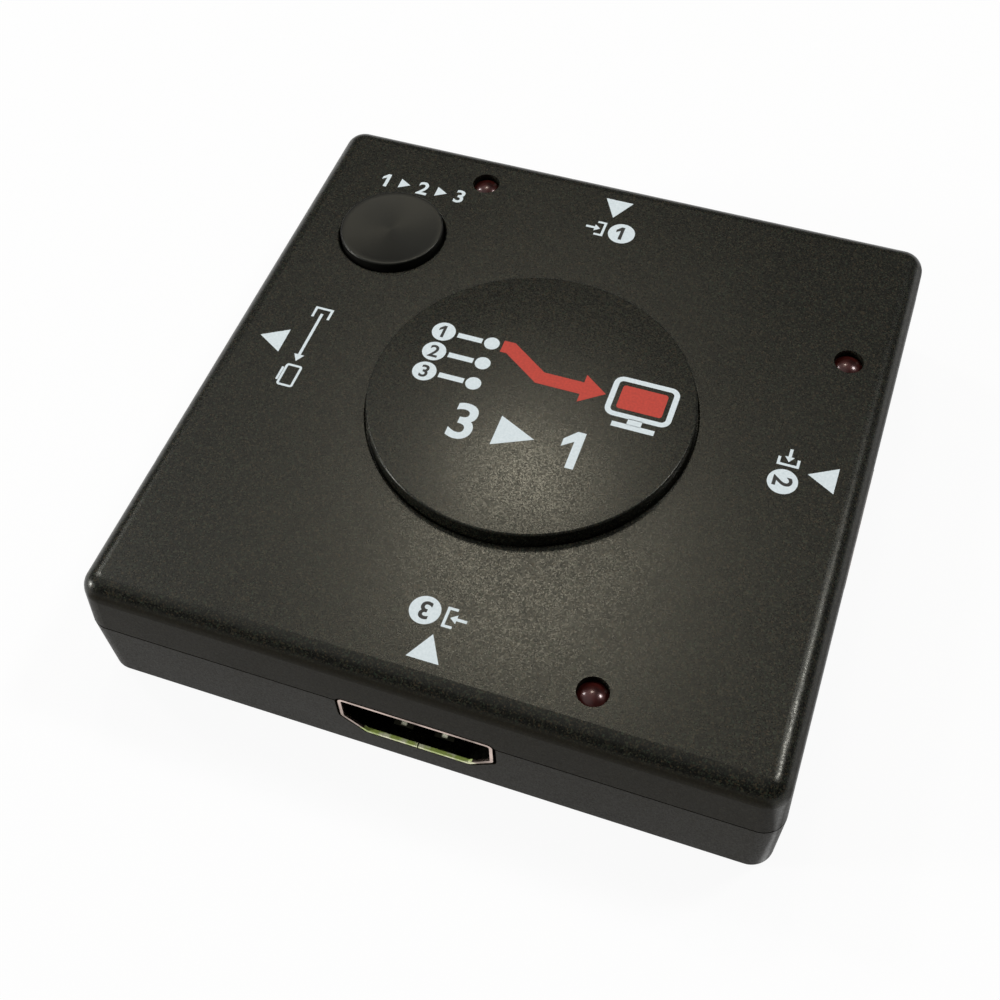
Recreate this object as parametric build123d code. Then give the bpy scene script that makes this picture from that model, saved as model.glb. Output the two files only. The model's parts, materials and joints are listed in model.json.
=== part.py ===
from build123d import *
import math
import os

# Case: two moulded shells, square in plan, drafted away from their joint
side = 66.0                     # width and depth at the joint
height = 14.5                   # top face above the table
parting_height = 8.25           # joint of the two shells
parting_gap = 0.15              # shadow line between them
corner_radius = 2.2             # upright corners
tight_radius = 0.4              # least radius of an inner corner
top_edge_radius = 2.0
hole_edge_radius = 0.2          # rims of the disc's recess and the button's hole
hole_land_share = 0.4           # of the land between them, at most
bottom_edge_radius = 0.5
top_draft = 3.1                 # degrees
bottom_draft = 1.4              # degrees
wall = 1.8
roof = 1.6
floor = 1.5
lip_height = 1.0                # tongue of the bottom shell inside the top one
lip_thickness = 0.8
lip_clearance = 0.1
rib_thickness = 0.9

# Screws and the pillars that they close
screw_inset = 5.4               # screw axis from each side
screw_meet = 6.2                # height where pillar and boss meet
screw_recess = 2.6              # counterbore from underneath
screw_head_radius = 1.9
screw_head_height = 1.3
screw_head_round = 0.3
screw_shank_radius = 1.0
screw_length = 8.0
screw_tip = 0.8
screw_bite = 0.05               # shank to pilot hole
screw_play = 0.2                # shank to pillar bore
screw_pilot_spare = 0.6         # pilot hole beyond the tip
head_play = 0.3                 # head to counterbore
cross_length = 2.2
cross_width = 0.5
cross_depth = 0.7
pillar_wall = 0.9
boss_wall = 1.6

# Circuit board
board_top = 3.6
board_thickness = 1.2
board_play = 0.45               # board edge to the case wall
board_corner_play = 0.4         # board to the pillars
board_post_radius = 1.3
hold_down_radius = 1.1
hold_down_gap = 0.1
board_post_shares = ((0.73, 0.36), (0.36, 0.73))        # of half the side
hold_down_shares = ((0.73, -0.36), (-0.73, -0.36), (0.36, 0.73), (-0.36, 0.73))
hole_play = 0.15                # pin to its hole in the board
solder_tail = 0.6               # pins below the board

# Video receptacles, wide side up, one in the middle of each wall
port_width = 14.7
port_height = 5.15
port_side = 3.2                 # straight part of each side
port_flat = 10.0                # width of the narrow lower face
port_depth = 11.5
port_corner = 0.55
port_metal = 0.3
port_seam = 0.12                # joint of the folded sheet
port_gap = 0.3                  # to the opening in the shells
port_drop = 0.15                # opening lies this much lower, so the gap is narrow on top
insulator_clearance = 0.05
tongue_front = 2.5
tongue_width = 10.6
tongue_thickness = 1.5
tongue_nose = 0.3
block_front = 8.6
spring_place = 2.0              # from the middle
spring_width = 1.9
spring_slot = 0.3
spring_root = 6.6
spring_bump = 2.2
spring_tip = 1.5
spring_dip = 0.15
spring_curl = 0.3
leg_width = 0.9
leg_places = (3.6, 9.4)
contact_pitch = 1.0
contact_width = 0.3
contact_thickness = 0.15
contact_setback = 0.4           # behind the nose of the tongue
contact_clearance = 0.03
contact_foot = 0.8
contact_leg_gap = 0.2           # behind the insulator
contact_counts = (10, 9)        # upper and lower row

# Raised disc in the middle of the lid
disc_radius = 15.98
disc_y = -0.4                   # a little towards the front
disc_rise = 1.5
disc_sink = 0.8
disc_groove = 0.17
disc_edge_radius = 0.15
disc_pin_radius = 1.2
disc_pin_circle = 10.0
disc_pin_play = 0.1
disc_pin_count = 3

# Select button
button_inset = 11.2             # from the left side
button_back_share = 0.5333      # towards the back, of half the side
button_radius = 5.5
button_rise = 0.9
button_gap = 0.2
button_edge_radius = 0.2
button_dish = 0.18
button_flange = 1.0             # beyond the cap, under the roof
button_flange_height = 0.8
button_flange_gap = 0.1
button_wall = 1.0
button_stem_radius = 1.6
button_rib = 0.8
button_travel = 0.25

# Push switch under the button
switch_size = 6.0
switch_height = 3.5
switch_cover = 0.3
switch_corner = 0.6
switch_floor = 1.2
switch_bore = 2.3
plunger_radius = 1.75
plunger_rise = 0.95             # above the cover
plunger_collar = 0.35           # retaining collar beyond the plunger
plunger_collar_height = 0.6
plunger_play = 0.08
plunger_spare = 0.05            # plunger to the snap dome when pressed
dome_rise = 0.25
dome_thickness = 0.1
stem_gap = 0.05                 # button stem above the plunger
switch_lead_x = 3.25
switch_lead_y = 2.25
switch_lead_width = 0.7
switch_lead_thickness = 0.3
switch_lead_shoulder = 1.0

# Indicator lamps
lamp_inset = 5.05               # from the nearest side
lamp_along_share = 0.4485       # along that side from its middle, of half the side
lamp_radius = 1.4
lamp_play = 0.06
lamp_depth = 0.25               # top of the dome under the lid
lamp_length = 5.3
lamp_flange = 0.35
lamp_flange_height = 1.0
lamp_flat = 0.15
lamp_pin_pitch = 2.54
lamp_pin = 0.45
sleeve_wall = 0.7
sleeve_length = 1.6

# Chip packages: length, width, height, and their leads
video_chip_size = 10.0
video_chip_height = 1.0
video_chip_pitch = 0.8
video_chip_count = 12
video_lead_width = 0.35
video_lead_reach = 0.95
selector_length = 4.9
selector_width = 3.9
selector_height = 1.4
selector_pitch = 1.27
selector_count = 4
selector_lead_width = 0.42
selector_lead_reach = 1.05
regulator_length = 6.5
regulator_width = 3.5
regulator_height = 1.6
regulator_pitch = 2.3
regulator_count = 3
regulator_lead_width = 0.7
regulator_tab_width = 3.0
regulator_lead_reach = 1.7
package_lift = 0.1              # body above the board
package_slope = 0.12            # each half of a body narrows by this
lead_thickness = 0.15
lead_foot_share = 0.55          # of a lead's reach
selector_place_shares = (-0.36, -0.42)                  # of half the side
regulator_place_shares = (0.42, -0.42)

# Chip capacitors and resistors
capacitor_size = (2.0, 1.25, 0.9)
resistor_size = (1.6, 0.8, 0.45)
terminal_share = 0.22           # of a chip part's length
terminal_skin = 0.04
capacitor_count = 4             # along each side of the video chip
capacitor_pitch = 2.8
capacitor_row = 9.0             # from the middle
resistor_count = 6
resistor_pitch = 1.5
resistor_place_shares = (0.42, 0.36)

# Through cuts run past their piece by this much
overrun = 1.0

# Heights and places that follow from the sizes above
roof_under = height - roof
board_bottom = board_top - board_thickness
screw_place = side / 2 - screw_inset
button_x = button_inset - side / 2
button_y = button_back_share * side / 2
lamp_along = lamp_along_share * side / 2
lamp_out = side / 2 - lamp_inset
pillar_radius = screw_head_radius + head_play + pillar_wall
boss_radius = screw_shank_radius + boss_wall
port_turns = {"input_3": 0, "input_2": 90, "input_1": 180, "output": 270}
lamp_places = {
    "indicator_1": (-lamp_along, lamp_out),
    "indicator_2": (lamp_out, lamp_along),
    "indicator_3": (lamp_along, -lamp_out),
}
standing = (Align.CENTER, Align.CENTER, Align.MIN)


# Shared shapes

def post(radius, low, high, x=0, y=0):
    """Upright round post between two heights."""
    return Pos(x, y, low) * Cylinder(radius, high - low, align=standing)


def block(width, depth, low, high, x=0, y=0):
    """Upright block between two heights."""
    return Pos(x, y, low) * Box(width, depth, high - low, align=standing)


def slab(outline, near, far):
    """Outline drawn across X and Z, as a solid from y = near to y = far."""
    return Pos(0, far, 0) * extrude(Plane.XZ * outline, far - near)


def strip(points, width):
    """Outline drawn across Y and Z, as a solid centred on x = 0."""
    outline = make_face(Polyline(*points, close=True))
    return Pos(-width / 2, 0, 0) * extrude(Plane.YZ * outline, width)


def turned(lines):
    """Half profile drawn as radius and height, turned about Z."""
    return revolve(Plane.XZ * make_face(lines), Axis.Z)


def corners(x, y):
    """The four places at plus and minus x and y."""
    return [(sx * x, sy * y) for sx in (-1, 1) for sy in (-1, 1)]


def inset_radius(inset):
    """Corner radius of the case outline drawn in by an inset."""
    return max(corner_radius - inset, tight_radius)


def case_half(level):
    """Half the side of the case at a height, with each shell's draft."""
    draft = bottom_draft if level < parting_height else top_draft
    return side / 2 - abs(level - parting_height) * math.tan(math.radians(draft))


def case_block(low, high, inset=0):
    """Block that follows the drafted case between two heights."""
    sections = []
    for level in (low, high):
        width = 2 * (case_half(level) - inset)
        sections.append(Pos(0, 0, level) * RectangleRounded(width, width, inset_radius(inset)))
    return loft(sections, ruled=True)


# Video receptacle in its own place: mouth at y = 0, board at z = 0, inwards along +Y

def port_outline(grow=0):
    """Receptacle outline with its narrow face on the board."""
    half = port_width / 2
    flat = port_flat / 2
    shoulder = port_height - port_side
    points = [(-flat, 0), (flat, 0), (half, shoulder), (half, port_height)]
    points += [(-half, port_height), (-half, shoulder)]
    outline = make_face(Polyline(*points, close=True))
    outline = fillet(outline.vertices(), port_corner)
    return offset(outline, grow) if grow else outline


def at_port(shape, turn):
    """Carry a receptacle piece to the wall at a quarter turn."""
    return Rot(0, 0, turn) * Pos(0, -side / 2, board_top) * shape


def port_tunnel():
    """Space that the shells leave for a receptacle."""
    reach = wall + 2 * overrun
    return Pos(0, 0, -port_drop) * slab(port_outline(port_gap), -overrun, reach)


def port_spring():
    """Bent spring cut out of the upper face of a receptacle."""
    outer = [(spring_root, 0), (spring_bump, -spring_dip), (spring_tip, spring_curl - spring_dip)]
    inner = [(y, z - port_metal) for y, z in reversed(outer)]
    return Pos(0, 0, port_height) * strip(outer + inner, spring_width)


def port_window():
    """Slot round a spring."""
    near = spring_tip - spring_slot
    length = spring_root - near
    low = port_height - port_metal - overrun
    width = spring_width + 2 * spring_slot
    return block(width, length, low, port_height + overrun, 0, near + length / 2)


def receptacle_shell():
    """Folded metal tube with its seam, four springs and four legs."""
    tube = slab(port_outline() - port_outline(-port_metal), 0, port_depth)
    length = port_depth + 2 * overrun
    tube -= block(port_seam, length, -overrun, port_metal + overrun / 2, 0, port_depth / 2)
    middle = Plane.XY.offset(port_height / 2)
    for x in (-spring_place, spring_place):
        window = Pos(x, 0, 0) * port_window()
        spring = Pos(x, 0, 0) * port_spring()
        tube = tube - window - mirror(window, middle)
        tube = tube + spring + mirror(spring, middle)
    shoulder = port_height - port_side
    leg_x = port_width / 2 - port_metal / 2
    leg_top = shoulder + port_corner
    for x in (-leg_x, leg_x):
        for y in leg_places:
            tube += block(port_metal, leg_width, -board_thickness - solder_tail, leg_top, x, y)
    return tube


def contact_rows():
    """Place of every contact: x, and the face of the tongue that carries it."""
    places = []
    for row, count in enumerate(contact_counts):
        for number in range(count):
            places.append(((number - (count - 1) / 2) * contact_pitch, row == 0))
    return places


def contact_level(upper):
    """Lower face of a contact on the upper or the lower side of the tongue."""
    middle = port_height / 2
    if upper:
        return middle + tongue_thickness / 2
    return middle - tongue_thickness / 2 - contact_thickness


def receptacle_tongue():
    """Moulded insulator: a block that fills the tube, and the tongue in front of it."""
    body = slab(port_outline(-port_metal - insulator_clearance), block_front, port_depth)
    low = (port_height - tongue_thickness) / 2
    high = low + tongue_thickness
    nose = [(tongue_front, low + tongue_nose), (tongue_front, high - tongue_nose)]
    nose += [(tongue_front + tongue_nose, high), (block_front, high)]
    nose += [(block_front, low), (tongue_front + tongue_nose, low)]
    body += strip(nose, tongue_width)
    channels = Sketch()
    for x, upper in contact_rows():
        depth = contact_thickness + contact_clearance
        level = contact_level(upper) + contact_thickness / 2
        level += contact_clearance / 2 if upper else -contact_clearance / 2
        width = contact_width + 2 * contact_clearance
        channels += Pos(x, level) * Rectangle(width, depth)
    return body - slab(channels, block_front - overrun, port_depth + overrun)


def receptacle_contacts():
    """Nineteen bent contacts that end in feet on the board."""
    contacts = []
    leg = port_depth + contact_leg_gap
    back = leg + contact_thickness
    for x, upper in contact_rows():
        front = tongue_front + tongue_nose + contact_setback
        low = contact_level(upper)
        high = low + contact_thickness
        path = [(front, low), (front, high), (back, high), (back, contact_thickness)]
        path += [(back + contact_foot, contact_thickness), (back + contact_foot, 0)]
        path += [(leg, 0), (leg, low)]
        contacts.append(Pos(x, 0, 0) * strip(path, contact_width))
    return contacts


# Case shells

def top_shell():
    """Lid with its rounded edge, holes, lamp sleeves, bosses and hold-down posts."""
    seam = parting_height + parting_gap
    shell = case_block(seam, height)
    rim = shell.faces().sort_by(Axis.Z)[-1].edges()
    shell = fillet(rim, top_edge_radius)
    shell -= case_block(seam - overrun, roof_under, wall)
    rebate = wall - lip_thickness - lip_clearance
    shell -= case_block(seam - overrun, parting_height + lip_height, rebate)
    boss_low = parting_height + lip_height + lip_clearance
    for x, y in corners(screw_place, screw_place):
        shell += post(boss_radius, screw_meet, roof_under, x, y)
        reach = case_half(roof_under) - wall - screw_place
        for wide, deep in ((reach, 0), (0, reach)):
            shell += block(
                max(wide, rib_thickness),
                max(deep, rib_thickness),
                boss_low,
                roof_under,
                x + math.copysign(wide / 2, x),
                y + math.copysign(deep / 2, y),
            )
    sleeve_radius = lamp_radius + lamp_play + sleeve_wall
    for x, y in lamp_places.values():
        shell += post(sleeve_radius, roof_under - sleeve_length, roof_under, x, y)
    for share_x, share_y in hold_down_shares:
        place = (share_x * side / 2, share_y * side / 2)
        shell += post(hold_down_radius, board_top + hold_down_gap, roof_under, *place)
    for x, y in corners(screw_place, screw_place):
        pilot_top = screw_recess + screw_length + screw_pilot_spare
        shell -= post(screw_shank_radius + screw_bite, screw_meet - overrun, pilot_top, x, y)
    for x, y in lamp_places.values():
        shell -= post(lamp_radius + lamp_play, board_top, height + overrun, x, y)
    button_hole = button_radius + button_gap
    shell -= post(button_hole, roof_under - overrun, height + overrun, button_x, button_y)
    shell -= post(disc_radius + disc_groove, height - disc_sink, height + overrun, 0, disc_y)
    land = math.hypot(button_x, button_y - disc_y) - disc_radius - disc_groove - button_hole
    circles = shell.edges().filter_by(GeomType.CIRCLE).group_by(Axis.Z)[-1]
    rims = circles.sort_by(SortBy.RADIUS)[-2:]
    shell = fillet(rims, min(hole_edge_radius, hole_land_share * land))
    for x, y in disc_pins():
        shell -= post(disc_pin_radius + disc_pin_play, roof_under - overrun, height, x, y)
    for turn in port_turns.values():
        shell -= at_port(port_tunnel(), turn)
    return shell


def bottom_shell():
    """Tray with its lip, screw pillars and board posts."""
    shell = case_block(0, parting_height)
    rim = shell.faces().sort_by(Axis.Z)[0].edges()
    shell = fillet(rim, bottom_edge_radius)
    shell += case_block(parting_height, parting_height + lip_height, wall - lip_thickness)
    shell -= case_block(floor, parting_height + lip_height + overrun, wall)
    for x, y in corners(screw_place, screw_place):
        shell += post(pillar_radius, floor, screw_meet, x, y)
        reach = case_half(screw_meet) - wall - screw_place
        for wide, deep in ((reach, 0), (0, reach)):
            shell += block(
                max(wide, rib_thickness),
                max(deep, rib_thickness),
                floor,
                screw_meet - lip_height,
                x + math.copysign(wide / 2, x),
                y + math.copysign(deep / 2, y),
            )
    for share_x, share_y in board_post_shares:
        for x, y in corners(share_x * side / 2, share_y * side / 2):
            shell += post(board_post_radius, floor, board_bottom, x, y)
    for x, y in corners(screw_place, screw_place):
        shell -= post(screw_head_radius + head_play, -overrun, screw_recess, x, y)
        shell -= post(screw_shank_radius + screw_play, floor, screw_meet + overrun, x, y)
    for turn in port_turns.values():
        shell -= at_port(port_tunnel(), turn)
    return shell


def case_screw():
    """Pan head screw, its head down and its tip up, seated at z = 0."""
    head_round = CenterArc(
        (screw_head_radius - screw_head_round, screw_head_round - screw_head_height),
        screw_head_round,
        270,
        90,
    )
    profile = head_round + Polyline(
        head_round @ 1,
        (screw_head_radius, 0),
        (screw_shank_radius, 0),
        (screw_shank_radius, screw_length - screw_tip),
        (screw_shank_radius / 2, screw_length),
        (0, screw_length),
        (0, -screw_head_height),
        head_round @ 0,
    )
    screw = turned(profile)
    low = -screw_head_height - overrun
    high = cross_depth - screw_head_height
    screw -= block(cross_length, cross_width, low, high)
    screw -= block(cross_width, cross_length, low, high)
    return screw


# Raised disc

def disc_pins():
    """Places of the pins that fix the disc in the lid."""
    step = 2 * math.pi / disc_pin_count
    circle = disc_pin_circle
    turns = [number * step for number in range(disc_pin_count)]
    return [(circle * math.sin(turn), disc_y + circle * math.cos(turn)) for turn in turns]


def centre_disc():
    """Disc with a softened rim, its pins through the lid."""
    low = height - disc_sink
    disc = post(disc_radius, low, height + disc_rise, 0, disc_y)
    disc = fillet(disc.edges().sort_by(Axis.Z)[-1], disc_edge_radius)
    for x, y in disc_pins():
        disc += post(disc_pin_radius, roof_under, low, x, y)
    return disc


# Select button and the push switch under it

switch_top = board_top + switch_height
plunger_top = switch_top + plunger_rise


def select_button():
    """Hollow cap with a dished face, a flange under the lid and a ribbed stem."""
    top = height + button_rise
    flange_top = roof_under - button_flange_gap
    flange_low = flange_top - button_flange_height
    stem_low = plunger_top + stem_gap
    edge = button_radius - button_edge_radius
    dish = ThreePointArc((-edge, top), (0, top - button_dish), (edge, top))
    face = dish.split(Plane.YZ, keep=Keep.TOP)
    round_edge = CenterArc((edge, top - button_edge_radius), button_edge_radius, 0, 90)
    inside_top = top - button_dish - button_wall
    inside = button_radius - button_wall
    outer = Polyline(
        (button_radius, top - button_edge_radius),
        (button_radius, flange_top),
        (button_radius + button_flange, flange_top),
        (button_radius + button_flange, flange_low),
        (inside, flange_low),
        (inside, inside_top),
        (button_stem_radius, inside_top),
        (button_stem_radius, stem_low),
        (0, stem_low),
        (0, top - button_dish),
    )
    button = turned(face + round_edge + outer)
    for turn in (0, 90):
        button += Rot(0, 0, turn) * block(2 * inside, button_rib, flange_low, inside_top)
    return Pos(button_x, button_y, 0) * button


def at_switch(shape):
    """Carry a push switch piece to its place on the board."""
    return Pos(button_x, button_y, board_top) * shape


def push_switch_body():
    """Square base with a round well for the plunger."""
    outline = RectangleRounded(switch_size, switch_size, switch_corner)
    body = extrude(outline, switch_height - switch_cover)
    return body - post(switch_bore, switch_floor, switch_height)


def push_switch_cover():
    """Sheet cover with the plunger's hole."""
    outline = RectangleRounded(switch_size, switch_size, switch_corner)
    outline -= Circle(plunger_radius + plunger_play)
    return Pos(0, 0, switch_height - switch_cover) * extrude(outline, switch_cover)


def push_switch_plunger():
    """Round plunger with the collar that the cover retains."""
    low = switch_floor + dome_rise + dome_thickness + button_travel + plunger_spare
    collar_top = switch_height - switch_cover - plunger_play
    plunger = post(plunger_radius, low, switch_height + plunger_rise)
    collar = plunger_radius + plunger_collar
    return plunger + post(collar, collar_top - plunger_collar_height, collar_top)


def push_switch_dome():
    """Snap dome on the floor of the well."""
    edge = switch_bore - plunger_play
    lower = ThreePointArc((-edge, 0), (0, dome_rise), (edge, 0)).split(Plane.YZ, keep=Keep.TOP)
    upper = Pos(0, dome_thickness) * lower
    rise = Line((0, dome_rise), (0, dome_rise + dome_thickness))
    rim = Line((edge, 0), (edge, dome_thickness))
    return Pos(0, 0, switch_floor) * turned(lower + upper + rise + rim)


def push_switch_leads():
    """Four flat leads through the board."""
    leads = []
    for x, y in corners(switch_lead_x, switch_lead_y):
        low = -board_thickness - solder_tail
        leads.append(
            block(switch_lead_thickness, switch_lead_width, low, switch_lead_shoulder, x, y)
        )
    return leads


# Indicator lamps

lamp_top = height - lamp_depth
lamp_base = lamp_top - lamp_length


def indicator_led():
    """Domed lamp body with a flat on its flange."""
    flange = lamp_radius + lamp_flange
    spring_line = lamp_top - lamp_radius
    dome = CenterArc((0, spring_line), lamp_radius, 0, 90)
    sides = Polyline(
        (lamp_radius, spring_line),
        (lamp_radius, lamp_base + lamp_flange_height),
        (flange, lamp_base + lamp_flange_height),
        (flange, lamp_base),
        (0, lamp_base),
        (0, lamp_top),
    )
    lamp = turned(dome + sides)
    flat = lamp_radius + lamp_flat + overrun / 2
    low = lamp_base - overrun
    return lamp - block(overrun, 2 * flange, low, lamp_base + lamp_flange_height, flat)


def indicator_leads():
    """Two square leads from the lamp through the board."""
    low = board_bottom - solder_tail
    places = (-lamp_pin_pitch / 2, lamp_pin_pitch / 2)
    return [block(lamp_pin, lamp_pin, low, lamp_base, x) for x in places]


# Chip packages, flat on the board at z = 0

def package_body(length, width, tall):
    """Moulded body that narrows above and below its middle."""
    middle = package_lift + tall / 2
    slope = 2 * package_slope
    body = None
    for level in (package_lift, package_lift + tall):
        wide = Pos(0, 0, middle) * Rectangle(length, width)
        narrow = Pos(0, 0, level) * Rectangle(length - slope, width - slope)
        half = loft([wide, narrow], ruled=True)
        body = half if body is None else body + half
    return body


def gull_lead(width, tall, reach):
    """Bent lead that leaves a body's side at y = 0 and ends in a foot."""
    exit_low = package_lift + tall / 2 - lead_thickness / 2
    exit_high = exit_low + lead_thickness
    heel = reach * (1 - lead_foot_share)
    path = [(0, exit_low), (0, exit_high), (heel, exit_high), (heel, lead_thickness)]
    path += [(reach, lead_thickness), (reach, 0)]
    path += [(heel - lead_thickness, 0), (heel - lead_thickness, exit_low)]
    return strip(path, width)


def lead_row(count, pitch, lead, edge, turn):
    """Row of equal leads along one side of a body."""
    row = []
    for number in range(count):
        x = (number - (count - 1) / 2) * pitch
        row.append(Rot(0, 0, turn) * Pos(x, edge, 0) * lead)
    return row


def at_board(shapes, shares=(0, 0)):
    """Carry pieces to a place on the board, given in shares of half the side."""
    place = Pos(shares[0] * side / 2, shares[1] * side / 2, board_top)
    return [place * shape for shape in shapes]


def video_chip_leads():
    """Leads on all four sides of the video chip."""
    lead = gull_lead(video_lead_width, video_chip_height, video_lead_reach)
    leads = []
    for turn in (0, 90, 180, 270):
        leads += lead_row(video_chip_count, video_chip_pitch, lead, video_chip_size / 2, turn)
    return leads


def selector_chip_leads():
    """Leads on two sides of the selector chip."""
    lead = gull_lead(selector_lead_width, selector_height, selector_lead_reach)
    leads = []
    for turn in (0, 180):
        leads += lead_row(selector_count, selector_pitch, lead, selector_width / 2, turn)
    return leads


def regulator_leads():
    """Three leads on one side of the regulator and its wide tab on the other."""
    lead = gull_lead(regulator_lead_width, regulator_height, regulator_lead_reach)
    tab = gull_lead(regulator_tab_width, regulator_height, regulator_lead_reach)
    leads = lead_row(regulator_count, regulator_pitch, lead, regulator_width / 2, 0)
    return leads + lead_row(1, regulator_pitch, tab, regulator_width / 2, 180)


def chip_part(size):
    """Small block with a metal end on each side, standing on the board."""
    length, width, tall = size
    end = length * terminal_share
    ends = [
        block(end, width, 0, tall, sign * (length - end) / 2)
        for sign in (-1, 1)
    ]
    core = block(length - 2 * end, width - 2 * terminal_skin, 0, tall - terminal_skin)
    return ends[0] + core + ends[1]


def capacitors():
    """A row of capacitors along each side of the video chip."""
    pieces = []
    for turn in (0, 90, 180, 270):
        for number in range(capacitor_count):
            x = (number - (capacitor_count - 1) / 2) * capacitor_pitch
            pieces.append(Rot(0, 0, turn) * Pos(x, capacitor_row, 0) * chip_part(capacitor_size))
    return pieces


def resistors():
    """One row of resistors side by side."""
    pieces = []
    for number in range(resistor_count):
        y = (number - (resistor_count - 1) / 2) * resistor_pitch
        pieces.append(Pos(0, y, 0) * chip_part(resistor_size))
    return pieces


# Circuit board

def circuit_board():
    """Board with notched corners and holes for every lead and leg."""
    half = case_half(board_bottom) - wall - board_play
    notch = half - (screw_place - pillar_radius - board_corner_play)
    board = block(2 * half, 2 * half, board_bottom, board_top)
    for x, y in corners(half, half):
        board -= block(2 * notch, 2 * notch, board_bottom - overrun, board_top + overrun, x, y)
    low = board_bottom - overrun
    high = board_top + overrun
    pin = lamp_pin + 2 * hole_play
    for x, y in lamp_places.values():
        for step in (-lamp_pin_pitch / 2, lamp_pin_pitch / 2):
            board -= block(pin, pin, low, high, x + step, y)
    for x, y in corners(switch_lead_x, switch_lead_y):
        wide = switch_lead_thickness + 2 * hole_play
        deep = switch_lead_width + 2 * hole_play
        board -= block(wide, deep, low, high, button_x + x, button_y + y)
    leg_x = (port_width - port_metal) / 2
    wide = port_metal + 2 * hole_play
    deep = leg_width + 2 * hole_play
    for turn in port_turns.values():
        for x in (-leg_x, leg_x):
            for y in leg_places:
                hole = block(wide, deep, low - board_top, high - board_top, x, y)
                board -= at_port(hole, turn)
    return board


# All nodes of the assembly

def nodes():
    """Every sub-part by its node's name, as a list of solids."""
    made = {
        "top_shell": [top_shell()],
        "bottom_shell": [bottom_shell()],
        "centre_disc": [centre_disc()],
        "select_button": [select_button()],
        "circuit_board": [circuit_board()],
        "case_screws": [
            Pos(x, y, screw_recess) * case_screw() for x, y in corners(screw_place, screw_place)
        ],
        "push_switch_body": [at_switch(push_switch_body())],
        "push_switch_cover": [at_switch(push_switch_cover())],
        "push_switch_plunger": [at_switch(push_switch_plunger())],
        "push_switch_dome": [at_switch(push_switch_dome())],
        "push_switch_leads": [at_switch(lead) for lead in push_switch_leads()],
        "switch_chip": at_board(
            [package_body(video_chip_size, video_chip_size, video_chip_height)]
        ),
        "switch_chip_leads": at_board(video_chip_leads()),
        "selector_chip": at_board(
            [package_body(selector_length, selector_width, selector_height)],
            selector_place_shares,
        ),
        "selector_chip_leads": at_board(selector_chip_leads(), selector_place_shares),
        "regulator": at_board(
            [package_body(regulator_length, regulator_width, regulator_height)],
            regulator_place_shares,
        ),
        "regulator_leads": at_board(regulator_leads(), regulator_place_shares),
        "capacitors": at_board(capacitors()),
        "resistors": at_board(resistors(), resistor_place_shares),
    }
    for name, turn in port_turns.items():
        made[name + "_shell"] = [at_port(receptacle_shell(), turn)]
        made[name + "_tongue"] = [at_port(receptacle_tongue(), turn)]
        made[name + "_contacts"] = [at_port(pin, turn) for pin in receptacle_contacts()]
    for name, (x, y) in lamp_places.items():
        made[name + "_led"] = [Pos(x, y, 0) * indicator_led()]
        made[name + "_leads"] = [Pos(x, y, 0) * lead for lead in indicator_leads()]
    return made


def write_parts():
    """Write one file for each node."""
    os.makedirs("parts", exist_ok=True)
    for name, shapes in nodes().items():
        solids = [solid for shape in shapes for solid in shape.solids()]
        whole = solids[0] if len(solids) == 1 else Compound(children=solids)
        export_step(whole, "parts/" + name + ".step")


write_parts()
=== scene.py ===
import json
import math

import bmesh
import bpy
from mathutils import Matrix, Vector


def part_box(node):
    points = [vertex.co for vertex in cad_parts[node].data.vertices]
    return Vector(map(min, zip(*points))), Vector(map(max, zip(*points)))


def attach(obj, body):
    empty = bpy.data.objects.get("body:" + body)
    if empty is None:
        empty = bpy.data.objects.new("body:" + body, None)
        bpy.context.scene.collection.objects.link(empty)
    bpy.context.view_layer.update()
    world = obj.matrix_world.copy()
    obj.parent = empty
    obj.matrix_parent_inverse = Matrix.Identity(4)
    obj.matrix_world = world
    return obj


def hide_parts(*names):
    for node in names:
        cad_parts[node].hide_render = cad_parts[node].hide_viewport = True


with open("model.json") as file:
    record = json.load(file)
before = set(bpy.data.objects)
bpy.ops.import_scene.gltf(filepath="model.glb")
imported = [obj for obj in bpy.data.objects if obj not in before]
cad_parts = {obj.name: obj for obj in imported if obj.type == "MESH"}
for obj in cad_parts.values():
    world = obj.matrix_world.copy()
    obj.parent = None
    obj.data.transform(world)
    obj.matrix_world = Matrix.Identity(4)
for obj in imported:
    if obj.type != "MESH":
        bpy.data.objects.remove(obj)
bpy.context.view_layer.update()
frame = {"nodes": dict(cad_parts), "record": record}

MM = 0.001


def cad_span(node):
    """Middle, half width and the lowest and highest level of a round node, in millimetres."""
    low, high = (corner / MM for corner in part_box(node))
    half = (high.y - low.y) / 2
    return (low.x + half, low.y + half), half, low.z, high.z


# Sizes of the case that the pieces below sit on, in millimetres
LID_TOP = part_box("top_shell")[1].z / MM
HALF_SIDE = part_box("bottom_shell")[1].x / MM
DISC_CENTRE, DISC_RADIUS, _, DISC_TOP = cad_span("centre_disc")
DISC_SINK = 0.8
DISC_EDGE = 0.2
BUTTON_CENTRE, _, BUTTON_LOW, BUTTON_TOP = cad_span("select_button")
BUTTON_RADIUS = 5.5
BUTTON_EDGE = 0.2
BUTTON_DISH = 0.18
LAMP_RADIUS = 1.4
LAMP_CURVE = 2.2            # radius of the lens cap over the lamp
INK = 0.01                  # thickness of a print
BOLD = 0.02                 # a printed number's strokes grow by this share of its em
ROUND_STEPS = 180
DOT_STEPS = 60

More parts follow.
